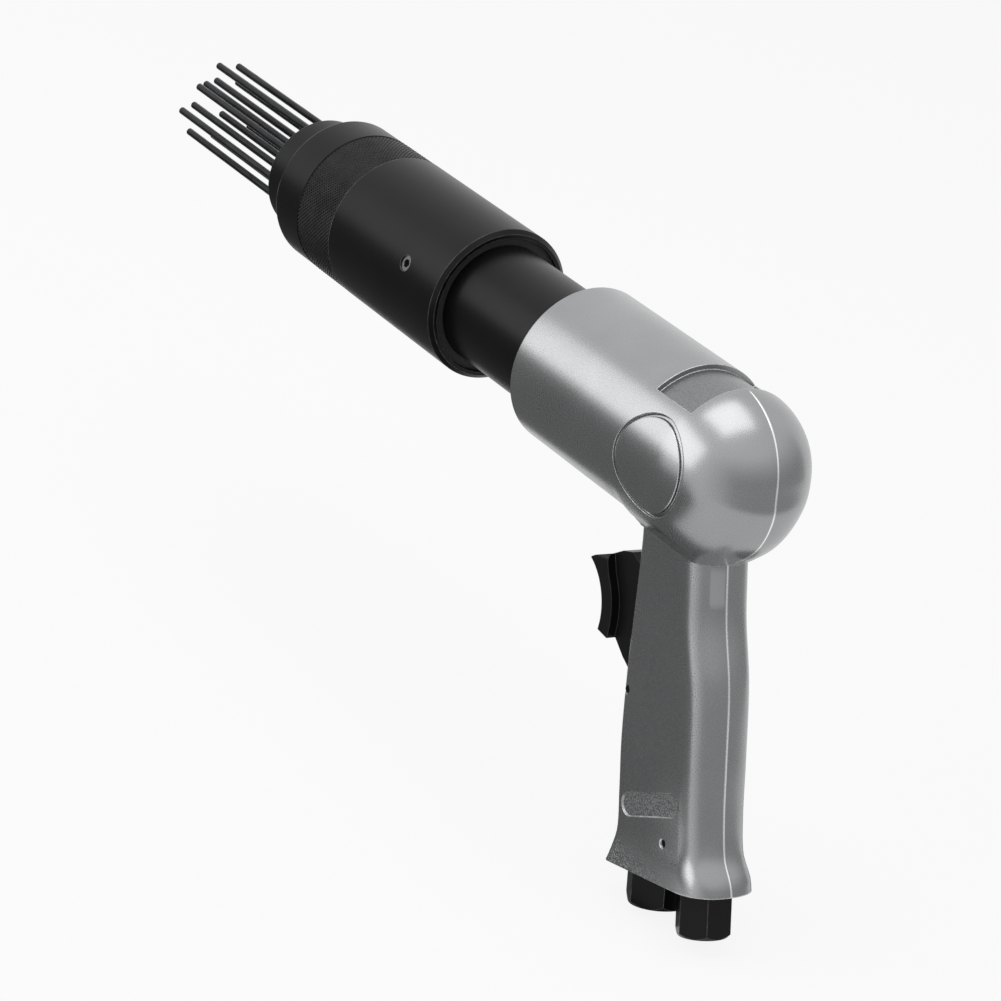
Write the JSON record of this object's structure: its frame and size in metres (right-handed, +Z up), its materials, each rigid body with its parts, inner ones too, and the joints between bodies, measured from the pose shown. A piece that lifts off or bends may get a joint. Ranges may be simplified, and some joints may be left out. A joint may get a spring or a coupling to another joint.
{
  "type": "needle scaler",
  "caption": "Air needle scaler: raked pistol handle under a round barrel with a ball-shaped rear, black sliding front sleeve with knurled ring, and loose needles that move one by one.",
  "frame": {"origin": "on the needle axis, in the shoulder plane behind the nozzle, where the nozzle's outer cylinder starts", "axes": "+X along the needles to their tips, +Y to the tool's left, +Z up, with the handle hanging down and back"},
  "size_m": [0.4459, 0.0614, 0.1919],
  "materials": {
    "cast_aluminium": "satin cast, lightly polished",
    "black_steel": "black oxide, satin",
    "needle_steel": "dark drawn steel",
    "hardened_steel": "ground",
    "spring_steel": "oiled",
    "bronze": "turned bronze",
    "black_rubber": "matte",
    "black_plastic": "moulded, satin"
  },
  "bodies": {
    "tool_body": {"housing": "cast_aluminium", "barrel_tube": "black_steel", "tube_seal": "black_rubber", "cylinder": "hardened_steel", "valve_chest": "hardened_steel", "valve_cap": "hardened_steel", "valve_dowel": "hardened_steel", "wave_washer": "spring_steel", "anvil_bush": "bronze", "anvil_buffer": "black_rubber", "trigger_pin": "hardened_steel", "push_pin_bush": "bronze", "throttle_seat": "bronze", "throttle_spring": "spring_steel", "inlet_bushing": "black_steel", "inlet_screen": "hardened_steel", "inlet_seal": "black_rubber", "bushing_pin": "hardened_steel", "exhaust_cap": "black_steel", "silencer_disc": "bronze"},
    "piston_body": {"piston": "hardened_steel"},
    "anvil_body": {"anvil": "hardened_steel"},
    "holder_body": {"needle_holder": "hardened_steel"},
    "needle_01_body": {"needle_01": "needle_steel"},
    "needle_02_body": {"needle_02": "needle_steel"},
    "needle_03_body": {"needle_03": "needle_steel"},
    "needle_04_body": {"needle_04": "needle_steel"},
    "needle_05_body": {"needle_05": "needle_steel"},
    "needle_06_body": {"needle_06": "needle_steel"},
    "needle_07_body": {"needle_07": "needle_steel"},
    "needle_08_body": {"needle_08": "needle_steel"},
    "needle_09_body": {"needle_09": "needle_steel"},
    "needle_10_body": {"needle_10": "needle_steel"},
    "needle_11_body": {"needle_11": "needle_steel"},
    "needle_12_body": {"needle_12": "needle_steel"},
    "sleeve_body": {"front_sleeve": "black_steel", "sleeve_wiper": "black_rubber", "sleeve_screw": "black_steel", "knurled_ring": "black_steel", "nozzle": "black_steel", "return_spring": "spring_steel"},
    "trigger_body": {"trigger": "black_plastic"},
    "push_pin_body": {"push_pin": "hardened_steel"},
    "throttle_body": {"throttle_valve": "bronze"},
    "valve_disc_body": {"valve_disc": "hardened_steel"}
  },
  "joints": [
    {"name": "sleeve_adjust", "type": "slide", "parent": "tool_body", "child": "sleeve_body", "axis": [1, 0, 0], "range_m": [-0.012, 0.01], "deforming": ["return_spring"]},
    {"name": "needle_pack_slide", "type": "slide", "parent": "tool_body", "child": "holder_body", "axis": [1, 0, 0], "range_m": [0, 0.008], "stiffness_N_per_m": 1500, "springref_m": -0.01, "deforming": ["return_spring"]},
    {"name": "anvil_slide", "type": "slide", "parent": "tool_body", "child": "anvil_body", "axis": [1, 0, 0], "range_m": [0, 0.008]},
    {"name": "piston_slide", "type": "slide", "parent": "tool_body", "child": "piston_body", "axis": [1, 0, 0], "range_m": [-0.044, 0]},
    {"name": "valve_disc_slide", "type": "slide", "parent": "tool_body", "child": "valve_disc_body", "axis": [1, 0, 0], "range_m": [0, 0.0007]},
    {"name": "trigger_pivot", "type": "hinge", "parent": "tool_body", "child": "trigger_body", "pos_m": [-0.25986, 0, -0.08761], "axis": [0, -1, 0], "range_deg": [0, 5.5], "stiffness_Nm_per_rad": 1.5, "springref_deg": -6.88},
    {"name": "push_pin_slide", "type": "slide", "parent": "tool_body", "child": "push_pin_body", "axis": [-0.9703, 0, 0.2419], "range_m": [0, 0.00252]},
    {"name": "throttle_tilt", "type": "hinge", "parent": "tool_body", "child": "throttle_body", "pos_m": [-0.28312, 0, -0.07164], "axis": [0, -1, 0], "range_deg": [0, 9.2], "deforming": ["throttle_spring"]},
    {"name": "needle_01_slide", "type": "slide", "parent": "holder_body", "child": "needle_01_body", "axis": [1, 0, 0], "range_m": [-0.012, 0.012]},
    {"name": "needle_02_slide", "type": "slide", "parent": "holder_body", "child": "needle_02_body", "axis": [1, 0, 0], "range_m": [-0.023, 0.001]},
    {"name": "needle_03_slide", "type": "slide", "parent": "holder_body", "child": "needle_03_body", "axis": [1, 0, 0], "range_m": [-0.004, 0.02]},
    {"name": "needle_04_slide", "type": "slide", "parent": "holder_body", "child": "needle_04_body", "axis": [1, 0, 0], "range_m": [-0.014, 0.01]},
    {"name": "needle_05_slide", "type": "slide", "parent": "holder_body", "child": "needle_05_body", "axis": [1, 0, 0], "range_m": [-0.012, 0.012]},
    {"name": "needle_06_slide", "type": "slide", "parent": "holder_body", "child": "needle_06_body", "axis": [1, 0, 0], "range_m": [-0.008, 0.016]},
    {"name": "needle_07_slide", "type": "slide", "parent": "holder_body", "child": "needle_07_body", "axis": [1, 0, 0], "range_m": [-0.001, 0.023]},
    {"name": "needle_08_slide", "type": "slide", "parent": "holder_body", "child": "needle_08_body", "axis": [1, 0, 0], "range_m": [-0.006, 0.018]},
    {"name": "needle_09_slide", "type": "slide", "parent": "holder_body", "child": "needle_09_body", "axis": [1, 0, 0], "range_m": [-0.023, 0.001]},
    {"name": "needle_10_slide", "type": "slide", "parent": "holder_body", "child": "needle_10_body", "axis": [1, 0, 0], "range_m": [-0.011, 0.013]},
    {"name": "needle_11_slide", "type": "slide", "parent": "holder_body", "child": "needle_11_body", "axis": [1, 0, 0], "range_m": [-0.017, 0.007]},
    {"name": "needle_12_slide", "type": "slide", "parent": "holder_body", "child": "needle_12_body", "axis": [1, 0, 0], "range_m": [-0.013, 0.011]}
  ],
  "couplings": [
    {"joint": "anvil_slide", "follows": "needle_pack_slide", "ratio": 1},
    {"joint": "push_pin_slide", "follows": "trigger_pivot", "m_per_rad": 0.026},
    {"joint": "throttle_tilt", "follows": "trigger_pivot", "ratio": 1.6456}
  ]
}
